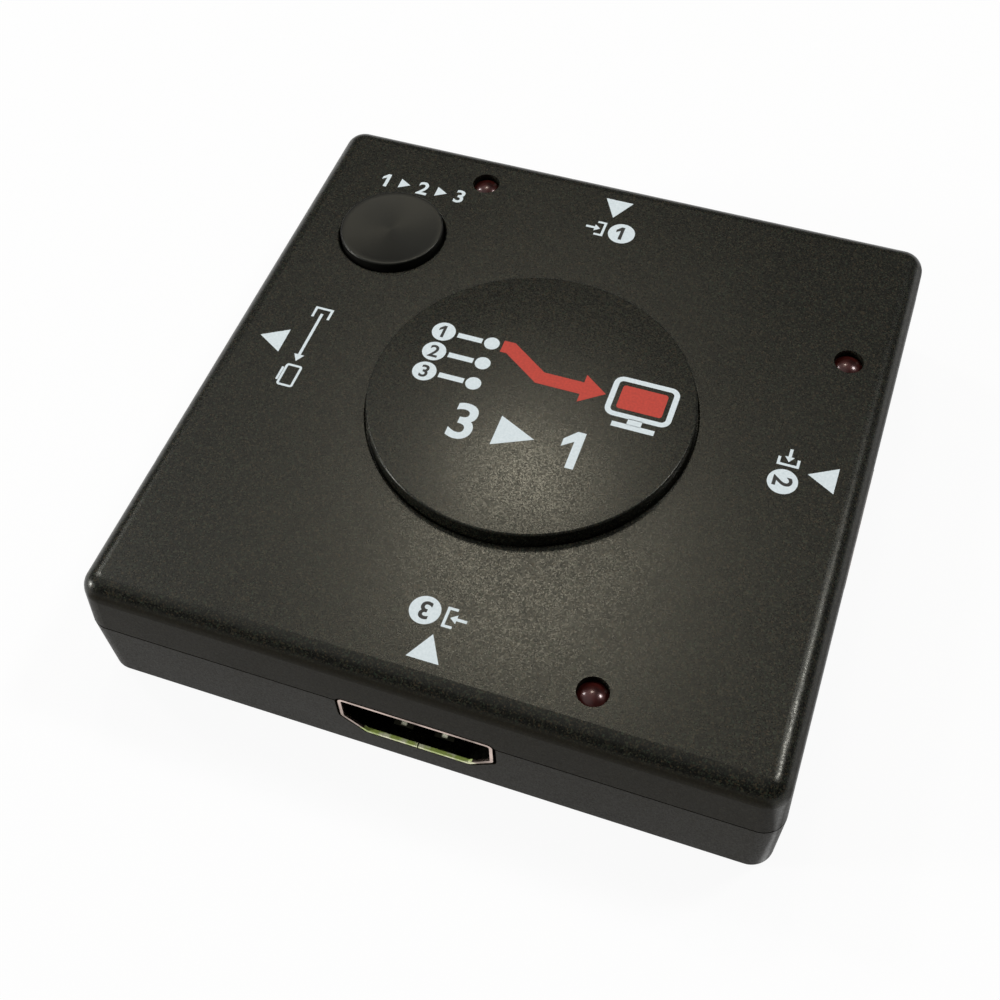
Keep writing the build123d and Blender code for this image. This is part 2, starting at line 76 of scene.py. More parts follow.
# Extents of the finishes, in millimetres
CASE_GRAIN = 0.12           # of the plastic's eroded texture
CLOUD_GRAIN = 14.0
WALL_START = 0.45           # the side walls' rougher finish and their painted lighter colour start this far inside the widest line
WALL_FADE = 0.3
RING_PITCH = 0.3            # turning marks on the button
PORT_LIP_DROP = 4.75        # top of a receptacle to just above its lower wall's inner face
PORT_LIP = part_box("input_3_shell")[1].z / MM - PORT_LIP_DROP
PORT_LIP_RISE = 0.1
RIM_DEPTH = 0.12            # a receptacle keeps its tin colour to here behind the widest line; further in it is painted dark as shade
RIM_FADE = 0.18
LIP_DEPTH = 0.16            # middle of the painted highlight on the lower lip, behind the widest line
LIP_HALF = 0.14
LIP_FADE = 0.08
SPRING_PLACE = 2.0          # painted highlights on the springs' bumps, aside from the middle
SPRING_DEPTH = 2.0          # and behind the widest line
SPRING_HALF_WIDTH = 0.18
SPRING_HALF_LENGTH = 0.25
SPRING_SIDE_FADE = 0.12
SPRING_END_FADE = 0.15


# Materials

class Finish:
    """A node material built step by step round one Principled shader."""

    def __init__(self, name):
        self.made = bpy.data.materials.new(name)
        self.made.use_nodes = True
        self.tree = self.made.node_tree
        self.shader = self.tree.nodes["Principled BSDF"]
        self.place = self.add("ShaderNodeTexCoord").outputs["Object"]

    def add(self, kind, **settings):
        """Add a node with some of its settings."""
        node = self.tree.nodes.new(kind)
        for name, value in settings.items():
            setattr(node, name, value)
        return node

    def join(self, source, target):
        """Link an output to an input, or set the input to a plain value."""
        if isinstance(source, bpy.types.NodeSocket):
            self.tree.links.new(source, target)
        else:
            target.default_value = source

    def surface(self, **values):
        """Set or link the shader's sockets, named with underscores."""
        for name, value in values.items():
            self.join(value, self.shader.inputs[name.replace("_", " ")])

    def noise(self, grain, detail):
        """Noise whose grain is given in millimetres."""
        node = self.add("ShaderNodeTexNoise")
        node.inputs["Scale"].default_value = 1 / (grain * MM)
        node.inputs["Detail"].default_value = detail
        self.join(self.place, node.inputs["Vector"])
        return node.outputs["Fac"]

    def cells(self, grain):
        """Three random values for each cell of scattered points a grain apart."""
        node = self.add("ShaderNodeTexVoronoi")
        node.inputs["Scale"].default_value = 1 / (grain * MM)
        self.join(self.place, node.inputs["Vector"])
        split = self.add("ShaderNodeSeparateColor")
        self.join(node.outputs["Color"], split.inputs["Color"])
        return split.outputs

    def band(self, value, middle, half, soft):
        """1 where a value lies near a middle, falling to 0 past half a width."""
        away = self.math("ABSOLUTE", self.math("SUBTRACT", value, middle))
        return self.spread(away, half, half + soft, 1.0, 0.0)

    def spread(self, source, low, high, to_low, to_high):
        """Map a range of a value onto another range."""
        node = self.add("ShaderNodeMapRange")
        for name, value in zip(
            ("Value", "From Min", "From Max", "To Min", "To Max"),
            (source, low, high, to_low, to_high),
        ):
            self.join(value, node.inputs[name])
        return node.outputs["Result"]

    def math(self, operation, *values):
        """One arithmetic step."""
        node = self.add("ShaderNodeMath", operation=operation)
        for value, socket in zip(values, node.inputs):
            self.join(value, socket)
        return node.outputs["Value"]

    def blend(self, share, first, second):
        """Mix two colours by a share."""
        node = self.add("ShaderNodeMix", data_type="RGBA")
        sockets = {s.identifier: s for s in node.inputs}
        self.join(share, sockets["Factor_Float"])
        for socket, colour in (("A_Color", first), ("B_Color", second)):
            if not isinstance(colour, bpy.types.NodeSocket):
                colour = (*colour, 1.0)
            self.join(colour, sockets[socket])
        return {s.identifier: s for s in node.outputs}["Result_Color"]

    def axes(self):
        """The three object coordinates as separate values."""
        node = self.add("ShaderNodeSeparateXYZ")
        self.join(self.place, node.inputs["Vector"])
        return node.outputs

    def relief(self, height, depth, strength=1.0, below=None):
        """Bump of a depth in millimetres."""
        node = self.add("ShaderNodeBump")
        node.inputs["Distance"].default_value = depth * MM
        node.inputs["Strength"].default_value = strength
        self.join(height, node.inputs["Height"])
        if below:
            self.join(below, node.inputs["Normal"])
        return node.outputs["Normal"]


def moulded(name, rough):
    """Black plastic with a spark-eroded texture: fine grain, warm specks, uneven sheen, and painted
    light that makes the side walls lighter and warmer.
    """
    finish = Finish(name)
    fine = finish.noise(CASE_GRAIN, 2.0)
    speck, hue, shine = finish.cells(CASE_GRAIN)
    clouds = finish.noise(CLOUD_GRAIN, 3.0)
    tone = finish.spread(fine, 0.3, 0.7, 0.0, 1.0)
    colour = finish.blend(tone, (0.0025, 0.0026, 0.0022), (0.007, 0.0072, 0.006))
    warm = finish.blend(hue, (0.05, 0.034, 0.02), (0.024, 0.038, 0.025))
    colour = finish.blend(finish.spread(speck, 0.55, 1.0, 0.0, 0.75), colour, warm)
    x, y, _ = finish.axes()
    reach = finish.math("MAXIMUM", finish.math("ABSOLUTE", x), finish.math("ABSOLUTE", y))
    inset = finish.math("SUBTRACT", HALF_SIDE * MM, reach)
    wall = finish.spread(inset, (WALL_START + WALL_FADE) * MM, WALL_START * MM, 0.0, 1.0)
    # painted light: the side walls are painted a lighter, warmer colour than the lid; their
    # rougher, less shiny finish below is real
    colour = finish.blend(finish.math("MULTIPLY", wall, 0.7), colour, (0.015, 0.0125, 0.008))
    haze = finish.spread(clouds, 0.3, 0.7, rough - 0.02, rough + 0.03)
    haze = finish.math("ADD", haze, finish.math("MULTIPLY", wall, 0.1))
    sparkle = finish.spread(shine, 0.0, 1.0, -0.085, 0.085)
    finish.surface(
        Base_Color=colour,
        Roughness=finish.math("ADD", haze, sparkle),
        Specular_IOR_Level=finish.spread(wall, 0.0, 1.0, 0.24, 0.045),
        Specular_Tint=(1.0, 0.99, 0.88, 1.0),
        Normal=finish.relief(fine, 0.008, 0.5),
    )
    return finish.made


def satin_button(name):
    """Smoother black plastic turned in fine rings, so its sheen fans out from the middle."""
    finish = Finish(name)
    flat = finish.add("ShaderNodeVectorMath", operation="MULTIPLY")
    finish.join(finish.place, flat.inputs[0])
    flat.inputs[1].default_value = (1, 1, 0)
    length = finish.add("ShaderNodeVectorMath", operation="LENGTH")
    finish.join(flat.outputs["Vector"], length.inputs[0])
    turns = finish.math("MULTIPLY", length.outputs["Value"], 2 * math.pi / (RING_PITCH * MM))
    fine = finish.noise(0.15, 3.0)
    tone = finish.spread(fine, 0.3, 0.7, 0.0, 1.0)
    colour = finish.blend(tone, (0.003, 0.003, 0.0027), (0.006, 0.006, 0.0052))
    relief = finish.relief(finish.math("SINE", turns), 0.001, 0.5)
    relief = finish.relief(fine, 0.004, 0.5, relief)
    around = finish.add("ShaderNodeTangent", direction_type="RADIAL", axis="Z")
    finish.surface(
        Base_Color=colour,
        Roughness=finish.spread(fine, 0.3, 0.7, 0.32, 0.38),
        Anisotropic=0.35,
        Tangent=around.outputs["Tangent"],
        Specular_IOR_Level=0.3,
        Specular_Tint=(1.0, 1.0, 0.88, 1.0),
        Normal=relief,
    )
    return finish.made


def tin_plate(name, colour, tint, rough):
    """Tinned sheet with rolling marks, a little stain and a warm tint in places."""
    finish = Finish(name)
    stains = finish.noise(1.8, 4.0)
    marks = finish.noise(0.35, 3.0)
    share = finish.spread(stains, 0.4, 0.65, 0.0, 1.0)
    finish.surface(
        Base_Color=finish.blend(share, colour, tint),
        Metallic=1.0,
        Roughness=finish.spread(marks, 0.3, 0.7, rough - 0.07, rough + 0.1),
        Normal=finish.relief(marks, 0.006, 0.5),
    )
    return finish.made


def port_metal(name):
    """Warm tin: bright rim, painted highlights on the lower lip and on the springs' bumps, painted
    shade further in.
    """
    finish = Finish(name)
    stains = finish.noise(2.6, 3.0)
    marks = finish.noise(0.35, 3.0)
    x, y, z = finish.axes()
    x, y = finish.math("ABSOLUTE", x), finish.math("ABSOLUTE", y)
    depth = finish.math("SUBTRACT", HALF_SIDE * MM, finish.math("MAXIMUM", x, y))
    aside = finish.math("MINIMUM", x, y)
    inner = finish.spread(depth, RIM_DEPTH * MM, (RIM_DEPTH + RIM_FADE) * MM, 0.0, 1.0)
    low = finish.spread(z, PORT_LIP * MM, (PORT_LIP + PORT_LIP_RISE) * MM, 1.0, 0.0)
    near = finish.band(depth, LIP_DEPTH * MM, LIP_HALF * MM, LIP_FADE * MM)
    lip = finish.math("MULTIPLY", low, near)
    # painted highlight: bright spots where the springs' rounded bumps catch the light
    spring_highlight = finish.math(
        "MULTIPLY",
        finish.band(aside, SPRING_PLACE * MM, SPRING_HALF_WIDTH * MM, SPRING_SIDE_FADE * MM),
        finish.band(depth, SPRING_DEPTH * MM, SPRING_HALF_LENGTH * MM, SPRING_END_FADE * MM),
    )
    stained = finish.spread(stains, 0.4, 0.65, 0.0, 1.0)
    tin = finish.blend(stained, (0.64, 0.5, 0.44), (0.2, 0.15, 0.12))
    # painted shade: the tin turns near black further inside the receptacle than the rim
    colour = finish.blend(inner, tin, (0.014, 0.014, 0.01))
    # painted highlight: the lower lip gets a bright yellow-green colour with lighter glint spots,
    # and is made less metallic
    glint = finish.spread(finish.noise(1.1, 1.0), 0.48, 0.62, 0.0, 1.0)
    lip_highlight = finish.blend(glint, (0.52, 0.66, 0.16), (0.96, 0.98, 0.66))
    colour = finish.blend(lip, colour, lip_highlight)
    lit = finish.math("MAXIMUM", lip, spring_highlight)
    finish.surface(
        Base_Color=finish.blend(spring_highlight, colour, (0.97, 0.98, 0.75)),
        Metallic=finish.math("SUBTRACT", 1.0, finish.math("MULTIPLY", lit, 0.85)),
        Roughness=finish.spread(marks, 0.3, 0.7, 0.22, 0.4),
        Normal=finish.relief(marks, 0.006, 0.5),
    )
    return finish.made


def lamp_plastic(name):
    """Deep red diffusing lamp body, glossy outside."""
    finish = Finish(name)
    streaks = finish.noise(0.9, 3.0)
    share = finish.spread(streaks, 0.35, 0.65, 0.0, 1.0)
    finish.surface(
        Base_Color=finish.blend(share, (0.014, 0.002, 0.0015), (0.034, 0.005, 0.004)),
        Roughness=finish.spread(streaks, 0.3, 0.7, 0.26, 0.32),
        Specular_IOR_Level=0.3,
        Specular_Tint=(1.0, 0.62, 0.6, 1.0),
        Coat_Weight=0.4,
        Coat_Roughness=0.12,
    )
    return finish.made


def board_laminate(name):
    """Green solder mask over fine tracks."""
    finish = Finish(name)
    tracks = finish.add("ShaderNodeTexBrick")
    tracks.inputs["Scale"].default_value = 1 / (2.4 * MM)
    tracks.inputs["Mortar Size"].default_value = 0.08
    finish.join(finish.place, tracks.inputs["Vector"])
    fine = finish.noise(0.5, 2.0)
    colour = finish.blend(tracks.outputs["Fac"], (0.01, 0.1, 0.035), (0.03, 0.2, 0.07))
    finish.surface(
        Base_Color=colour,
        Roughness=finish.spread(fine, 0.3, 0.7, 0.25, 0.38),
        Normal=finish.relief(tracks.outputs["Fac"], 0.03, 0.6),
    )
    return finish.made


def speckled(name, dark, light, rough, grain=0.3):
    """Plain hard surface with a fine mottle, for inner pieces and prints."""
    finish = Finish(name)
    fine = finish.noise(grain, 3.0)
    finish.surface(
        Base_Color=finish.blend(finish.spread(fine, 0.3, 0.7, 0.0, 1.0), dark, light),
        Roughness=finish.spread(fine, 0.3, 0.7, rough - 0.05, rough + 0.05),
        Specular_IOR_Level=0.3,
        Normal=finish.relief(fine, 0.006, 0.5),
    )
    return finish.made


finishes = {
    "case_plastic": moulded("case_plastic", 0.29),
    "disc_plastic": moulded("disc_plastic", 0.285),
    "button_plastic": satin_button("button_plastic"),
    "port_metal": port_metal("port_metal"),
    "insulator": speckled("insulator", (0.012, 0.012, 0.012), (0.02, 0.02, 0.02), 0.45),
    "contact_metal": tin_plate("contact_metal", (0.9, 0.66, 0.28), (0.85, 0.6, 0.22), 0.25),
    "lamp_plastic": lamp_plastic("lamp_plastic"),
    "tinned_metal": tin_plate("tinned_metal", (0.72, 0.72, 0.7), (0.6, 0.6, 0.58), 0.3),
    "board_laminate": board_laminate("board_laminate"),
    "chip_plastic": speckled("chip_plastic", (0.016, 0.016, 0.016), (0.026, 0.026, 0.026), 0.55),
    "chip_ceramic": speckled("chip_ceramic", (0.4, 0.28, 0.16), (0.52, 0.38, 0.24), 0.4),
    "screw_steel": tin_plate("screw_steel", (0.35, 0.35, 0.35), (0.25, 0.25, 0.25), 0.35),
    "switch_plastic": speckled("switch_plastic", (0.014, 0.014, 0.014), (0.022, 0.022, 0.022), 0.5),
}
print_white = speckled("print_white", (0.59, 0.67, 0.7), (0.7, 0.77, 0.8), 0.5, 0.25)
print_red = speckled("print_red", (0.4, 0.034, 0.021), (0.52, 0.05, 0.03), 0.5, 0.25)
print_dark = speckled("print_dark", (0.016, 0.016, 0.015), (0.026, 0.026, 0.024), 0.5, 0.25)

slot_of = {part["node"]: part["material_slot"] for part in frame["record"]["subparts"]}
for node, piece in frame["nodes"].items():
    for place in piece.material_slots:
        place.material = finishes[slot_of[node]]


# Mesh helpers, in millimetres

def finish_piece(name, bm, material, body, centre=(0, 0)):
    """Turn a bmesh into a piece that stands at a centre and rides on a body."""
    bmesh.ops.recalc_face_normals(bm, faces=bm.faces)
    mesh = bpy.data.meshes.new(name)
    bm.to_mesh(mesh)
    bm.free()
    mesh.transform(Matrix.Scale(MM, 4))
    mesh.shade_smooth()
    mesh.set_sharp_from_angle(angle=math.radians(35))
    mesh.materials.append(material)
    piece = bpy.data.objects.new(name, mesh)
    piece.location = (centre[0] * MM, centre[1] * MM, 0)
    bpy.context.scene.collection.objects.link(piece)
    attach(piece, body)
    return piece


def arc(centre, radius, start, end, steps):
    """Points of an arc, angles in degrees."""
    points = []
    for step in range(steps + 1):
        angle = math.radians(start + (end - start) * step / steps)
        points.append((centre[0] + radius * math.cos(angle), centre[1] + radius * math.sin(angle)))
    return points


def turned(name, profile, centre, material, body):
    """Closed solid turned round an upright axis from radius and height points."""
    bm = bmesh.new()
    rings = []
    for radius, level in profile:
        if radius == 0:
            rings.append([bm.verts.new((0, 0, level))])
            continue
        ring = []
        for step in range(ROUND_STEPS):
            angle = 2 * math.pi * step / ROUND_STEPS
            ring.append(bm.verts.new((radius * math.cos(angle), radius * math.sin(angle), level)))
        rings.append(ring)
    for lower, upper in zip(rings, rings[1:]):
        for step in range(ROUND_STEPS):
            after = (step + 1) % ROUND_STEPS
            corners = [lower[step % len(lower)], lower[after % len(lower)]]
            corners += [upper[after % len(upper)], upper[step % len(upper)]]
            kept = []
            for corner in corners:
                if corner not in kept:
                    kept.append(corner)
            bm.faces.new(kept)
    return finish_piece(name, bm, material, body, centre)


class Print:
    """Flat ink of one colour, gathered shape by shape on one level."""

    def __init__(self, level):
        self.level = level
        self.bm = bmesh.new()
        self.frame = Matrix.Identity(4)

    def at(self, x, y, turn=0.0):
        """Draw what follows at a place, turned by degrees."""
        self.frame = Matrix.Translation((x, y, 0)) @ Matrix.Rotation(math.radians(turn), 4, "Z")
        return self

    def shape(self, points):
        """Filled outline, as thick as the ink."""
        loop = [self.frame @ Vector((x, y, self.level)) for x, y in points]
        lower = [self.bm.verts.new(point) for point in loop]
        upper = [self.bm.verts.new(point + Vector((0, 0, INK))) for point in loop]
        self.bm.faces.new(lower)
        self.bm.faces.new(upper)
        for step in range(len(loop)):
            after = (step + 1) % len(loop)
            self.bm.faces.new((lower[step], lower[after], upper[after], upper[step]))

    def dot(self, x, y, radius):
        """Filled circle."""
        self.shape(arc((x, y), radius, 0, 360 - 360 / DOT_STEPS, DOT_STEPS - 1))

    def line(self, points, width, closed=False):
        """Line of even width with mitred corners."""
        count = len(points)
        sides = []
        for step, point in enumerate(points):
            before = Vector(points[step - 1]) if closed or step else None
            after = Vector(points[(step + 1) % count]) if closed or step < count - 1 else None
            here = Vector(point)
            into = (here - before).normalized() if before else (after - here).normalized()
            out = (after - here).normalized() if after else into
            middle = (into + out).normalized()
            across = Vector((-middle.y, middle.x))
            reach = width / 2 / max(across.dot(Vector((-into.y, into.x))), 0.3)
            sides.append((here + across * reach, here - across * reach))
        steps = range(count) if closed else range(count - 1)
        for step in steps:
            a, b = sides[step], sides[(step + 1) % count]
            self.shape([tuple(a[1]), tuple(b[1]), tuple(b[0]), tuple(a[0])])

    def box(self, x, y, wide, tall, corner, width=0.0):
        """Rounded box, filled or as an outline of a width."""
        points = []
        for index, (sx, sy) in enumerate(((1, 1), (-1, 1), (-1, -1), (1, -1))):
            middle = (x + sx * (wide / 2 - corner), y + sy * (tall / 2 - corner))
            points += arc(middle, corner, index * 90, index * 90 + 90, 6)
        if width:
            self.line(points, width, True)
        else:
            self.shape(points)

    def one(self, x, y, tall):
        """Number one: an upright with a flag, as one outline."""
        bar = 0.19 * tall
        left, right = x - bar / 2, x + bar / 2
        low, high = y - tall / 2, y + tall / 2
        points = [(left, low), (right, low), (right, high), (left, high)]
        points += [(left - 1.3 * bar, high - 1.4 * bar), (left - 1.3 * bar, high - 2.5 * bar)]
        self.shape(points + [(left, high - 1.5 * bar)])

    def bracket(self, open_end, closed_end, half, width):
        """Box that is open at one end, as a line."""
        points = [(open_end, half), (closed_end, half), (closed_end, -half), (open_end, -half)]
        self.line(points, width)

    def triangle(self, base, tip, half, y=0.0):
        """Triangle whose tip points along x."""
        self.shape([(base, y + half), (tip, y), (base, y - half)])

    def arrow(self, start, tip, y, width, head, reach):
        """Arrow along x as one outline, its head a given half width and length."""
        neck = tip - reach
        half = width / 2
        points = [(start, y - half), (neck, y - half), (neck, y - head), (tip, y)]
        self.shape(points + [(neck, y + head), (neck, y + half), (start, y + half)])

    def digit(self, text, x, y, tall):
        """Plain number of a height, centred on a place."""
        if text == "1":
            self.one(x, y, tall)
            return
        curve = bpy.data.curves.new("digit", "FONT")
        curve.body = text
        curve.offset = BOLD
        curve.resolution_u = 6
        holder = bpy.data.objects.new("digit", curve)
        mesh = bpy.data.meshes.new_from_object(holder)
        points = [v.co.copy() for v in mesh.vertices]
        low = Vector((min(p.x for p in points), min(p.y for p in points)))
        high = Vector((max(p.x for p in points), max(p.y for p in points)))
        scale = tall / (high.y - low.y)
        middle = (low + high) / 2
        verts = []
        for point in points:
            flat = (point.x - middle.x) * scale + x, (point.y - middle.y) * scale + y
            verts.append(self.bm.verts.new(self.frame @ Vector((*flat, self.level))))
        faces = [self.bm.faces.new([verts[i] for i in f.vertices]) for f in mesh.polygons]
        raised = bmesh.ops.extrude_face_region(self.bm, geom=faces, use_keep_orig=True)
        for item in raised["geom"]:
            if isinstance(item, bmesh.types.BMVert):
                item.co.z += INK
        bpy.data.objects.remove(holder)
        bpy.data.curves.remove(curve)
        bpy.data.meshes.remove(mesh)

    def done(self, name, material):
        """Make the piece."""
        return finish_piece(name, self.bm, material, "root")


# Smooth round pieces in place of the faceted ones

EDGE_STEPS = 8
DISH_STEPS = 13
CAP_STEPS = 14
CAP_END = 86                # degrees, just before the top of a lamp's cap

disc_face = DISC_TOP - 2 * INK
disc_edge = arc((DISC_RADIUS - DISC_EDGE, disc_face - DISC_EDGE), DISC_EDGE, 0, 90, EDGE_STEPS)
disc_profile = [(0, disc_face), *reversed(disc_edge)]
disc_profile += [(DISC_RADIUS, LID_TOP - DISC_SINK), (0, LID_TOP - DISC_SINK)]
disc = turned("disc", disc_profile, DISC_CENTRE, finishes["disc_plastic"], "root")
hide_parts("centre_disc")

edge = BUTTON_RADIUS - BUTTON_EDGE
dish_radius = (edge ** 2 + BUTTON_DISH ** 2) / (2 * BUTTON_DISH)
button_profile = [(0, BUTTON_TOP - BUTTON_DISH)]
for step in range(1, DISH_STEPS):
    radius = edge * step / DISH_STEPS
    sag = dish_radius - math.sqrt(dish_radius ** 2 - radius ** 2)
    button_profile.append((radius, BUTTON_TOP - BUTTON_DISH + sag))
button_profile += reversed(arc((edge, BUTTON_TOP - BUTTON_EDGE), BUTTON_EDGE, 0, 90, EDGE_STEPS))
button_profile += [(BUTTON_RADIUS, BUTTON_LOW), (0, BUTTON_LOW)]
button = turned(
    "button", button_profile, BUTTON_CENTRE, finishes["button_plastic"], "button"
)
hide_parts("select_button")

cap_start = math.degrees(math.acos(LAMP_RADIUS / LAMP_CURVE))
for number in (1, 2, 3):
    centre, _, lamp_low, lamp_top = cad_span(f"indicator_{number}_led")
    cap = arc((0, lamp_top - LAMP_CURVE), LAMP_CURVE, cap_start, CAP_END, CAP_STEPS)
    profile = [(0, lamp_top), *reversed(cap), (LAMP_RADIUS, lamp_low), (0, lamp_low)]
    lens = turned(
        f"lamp_lens_{number}", profile, centre, finishes["lamp_plastic"], "root"
    )
    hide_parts(f"indicator_{number}_led")


# Prints on the lid, each in the frame of its own mark

INPUT_TURNS = {"1": 0, "2": -90, "3": 180}
OUTPUT_TURN = -90
INPUT_TRIANGLE = {"base": 29.75, "tip": 27.05, "half": 1.52}
INPUT_ROUNDEL = {"x": 1.55, "y": 25.0, "radius": 1.44}
INPUT_NUMBER_HEIGHT = 1.85
INPUT_MARK_PLACE = (-1.35, 25.05)
INPUT_BOX = {"open_end": 0.05, "closed_end": 0.9, "half": 0.92, "width": 0.27}
INPUT_ARROW = {"start": -1.05, "tip": 0.52, "y": 0.0, "width": 0.3, "head": 0.46, "reach": 0.62}
OUTPUT_TRIANGLE = {"base": -26.5, "tip": -29.17, "half": 1.55}
OUTPUT_MARK_PLACE = (-24.3, 0)
OUTPUT_BOX = {"open_end": -3.9, "closed_end": -5.2, "half": 0.86, "width": 0.27}
OUTPUT_ARROW = {"start": -4.5, "tip": 2.15, "y": 0.0, "width": 0.3, "head": 0.55, "reach": 0.9}
OUTPUT_SCREEN = {"x": 4.05, "y": 0.16, "wide": 2.6, "tall": 1.5, "corner": 0.2, "width": 0.25}
OUTPUT_FOOT = {"points": [(3.2, -0.88), (4.9, -0.88)], "width": 0.24}
SELECT_PLACE = (-21.15, 25.1)
SELECT_PITCH = 4.25
SELECT_HEIGHT = 1.95
SELECT_TRIANGLE_PLACE = 2.15
SELECT_TRIANGLE_HALF_LENGTH = 0.62
SELECT_TRIANGLE_HALF_WIDTH = 0.72

white = Print(LID_TOP)
dark = Print(LID_TOP + INK)

for number, turn in INPUT_TURNS.items():
    spin = Matrix.Rotation(math.radians(turn), 2)
    white.at(0, 0, turn + 90).triangle(**INPUT_TRIANGLE)
    white.at(0, 0, turn).dot(**INPUT_ROUNDEL)
    roundel = INPUT_ROUNDEL["x"], INPUT_ROUNDEL["y"]
    dark.at(0, 0, turn).digit(number, *roundel, INPUT_NUMBER_HEIGHT)
    white.at(*(spin @ Vector(INPUT_MARK_PLACE)), turn)
    white.bracket(**INPUT_BOX)
    white.arrow(**INPUT_ARROW)

white.at(0, 0).triangle(**OUTPUT_TRIANGLE)
white.at(*OUTPUT_MARK_PLACE, OUTPUT_TURN)
white.bracket(**OUTPUT_BOX)
white.arrow(**OUTPUT_ARROW)
white.box(**OUTPUT_SCREEN)
white.line(**OUTPUT_FOOT)

white.at(*SELECT_PLACE)
for step, number in enumerate("123", -1):
    white.digit(number, step * SELECT_PITCH, 0, SELECT_HEIGHT)
for x in (-SELECT_TRIANGLE_PLACE, SELECT_TRIANGLE_PLACE):
    base, tip = x - SELECT_TRIANGLE_HALF_LENGTH, x + SELECT_TRIANGLE_HALF_LENGTH
    white.triangle(base, tip, SELECT_TRIANGLE_HALF_WIDTH)

white.done("lid_print", print_white)
dark.done("lid_numbers", print_dark)


# Selector diagram on the disc: three inputs, one switched through to a screen

INPUT_X = -11.0
INPUT_ROWS = (4.9, 2.2, -0.5)
INPUT_RADIUS = 1.2
INPUT_HEIGHT = 1.55
WIRE_START = -9.5
WIRE_END = -6.9
WIRE_WIDTH = 0.62
CONTACT_X = -5.9
CONTACT_RADIUS = 0.78
BAR_ENDS = (-4.8, -3.9)     # stretch of the red bar along the first row
BAR_TAIL = (0.0, 1.6)       # and along the middle row
BAR_WIDTH = 1.5
BAR_TIP = 6.7
BAR_HEAD = 1.75
BAR_HEAD_LENGTH = 2.4
SCREEN_X = 10.3
SCREEN_Y = 2.4
SCREEN_PICTURE = {"wide": 4.5, "tall": 2.9, "corner": 0.3}
SCREEN_FRAME = {"wide": 6.0, "tall": 4.4, "corner": 0.7, "width": 0.55}
SCREEN_NECK = (0.0, -0.75)
SCREEN_NECK_WIDTH = 1.4
SCREEN_FOOT_Y = -1.0
SCREEN_FOOT_HALF = 2.1
SCREEN_FOOT_WIDTH = 0.6
COUNT_Y = -5.2
COUNT_HEIGHT = 4.4
COUNT_PLACES = {"3": -5.2, "1": 6.0}
COUNT_TRIANGLE = {"base": -1.9, "tip": 1.9, "half": 1.8, "y": COUNT_Y}

white = Print(disc_face)
red = Print(disc_face)
dark = Print(disc_face + INK)
for number, y in enumerate(INPUT_ROWS, 1):
    white.dot(INPUT_X, y, INPUT_RADIUS)
    dark.digit(str(number), INPUT_X, y, INPUT_HEIGHT)
    white.line([(WIRE_START, y), (WIRE_END, y)], WIRE_WIDTH)
    white.dot(CONTACT_X, y, CONTACT_RADIUS)
first, middle, _ = INPUT_ROWS
red.line([(x, first) for x in BAR_ENDS] + [(x, middle) for x in BAR_TAIL], BAR_WIDTH)
red.arrow(BAR_TAIL[1], BAR_TIP, middle, BAR_WIDTH, BAR_HEAD, BAR_HEAD_LENGTH)
red.box(SCREEN_X, SCREEN_Y, **SCREEN_PICTURE)
white.box(SCREEN_X, SCREEN_Y, **SCREEN_FRAME)
white.line([(SCREEN_X, y) for y in SCREEN_NECK], SCREEN_NECK_WIDTH)
foot = SCREEN_X - SCREEN_FOOT_HALF, SCREEN_X + SCREEN_FOOT_HALF
white.line([(x, SCREEN_FOOT_Y) for x in foot], SCREEN_FOOT_WIDTH)
for number, x in COUNT_PLACES.items():
    white.digit(number, x, COUNT_Y, COUNT_HEIGHT)
white.triangle(**COUNT_TRIANGLE)
white.done("disc_print", print_white)
red.done("disc_print_red", print_red)
dark.done("disc_numbers", print_dark)


# Fine rounding that catches the light on the metal rims

RIM_ROUNDING = 0.08

for node, piece in frame["nodes"].items():
    if node.endswith("_shell") and node.startswith(("input", "output")):
        rounding = piece.modifiers.new("rim", "BEVEL")
        rounding.width = RIM_ROUNDING * MM
        rounding.segments = 2
        rounding.limit_method = "ANGLE"
        rounding.angle_limit = math.radians(40)


# Floor, light and camera

FLOOR_HALF = 4.0            # metres
FLOOR_SINK = 0.02           # below the case, in millimetres
FLOOR_GLOW = 0.93           # share of white that the camera sees on the floor


def pale_floor():
    """Floor that shows white to the camera and keeps the object's shadow."""
    finish = Finish("pale_floor")
    fine = finish.noise(4.0, 2.0)
    finish.surface(
        Base_Color=finish.blend(fine, (0.8, 0.8, 0.8), (0.84, 0.84, 0.84)),
        Roughness=0.9,
        Specular_IOR_Level=0.1,
    )
    rays = finish.add("ShaderNodeLightPath").outputs
    seen = finish.math("MAXIMUM", rays["Is Camera Ray"], rays["Is Glossy Ray"])
    seen = finish.math("MAXIMUM", seen, rays["Is Transmission Ray"])
    glow = finish.add("ShaderNodeEmission")
    mix = finish.add("ShaderNodeMixShader")
    finish.join(finish.math("MULTIPLY", seen, FLOOR_GLOW), mix.inputs["Fac"])
    finish.join(finish.shader.outputs["BSDF"], mix.inputs[1])
    finish.join(glow.outputs["Emission"], mix.inputs[2])
    out = finish.tree.nodes["Material Output"]
    finish.join(mix.outputs["Shader"], out.inputs["Surface"])
    return finish.made


floor_mesh = bpy.data.meshes.new("floor")
signs = ((-1, -1), (1, -1), (1, 1), (-1, 1))
corners = [(x * FLOOR_HALF, y * FLOOR_HALF, -FLOOR_SINK * MM) for x, y in signs]
floor_mesh.from_pydata(corners, [], [(0, 1, 2, 3)])
floor_mesh.materials.append(pale_floor())
floor = bpy.data.objects.new("floor", floor_mesh)
bpy.context.scene.collection.objects.link(floor)


# Overhead light of the world, by the parts of a direction of length one
HORIZON_SPAN = (0.05, 0.13)         # rise over which the white horizon ends
BEHIND_LEAN = 0.4                   # towards the back
BEHIND_SPAN = (0.3, 0.95)
OVERHEAD_START = 0.655
OVERHEAD_LIMIT = 0.135
RIGHT_END = 0.295
RIGHT_LEAST = 0.05
OVERHEAD_GAIN = 13.5
LEAST_STRENGTH = 0.08
MOST_STRENGTH = 0.9


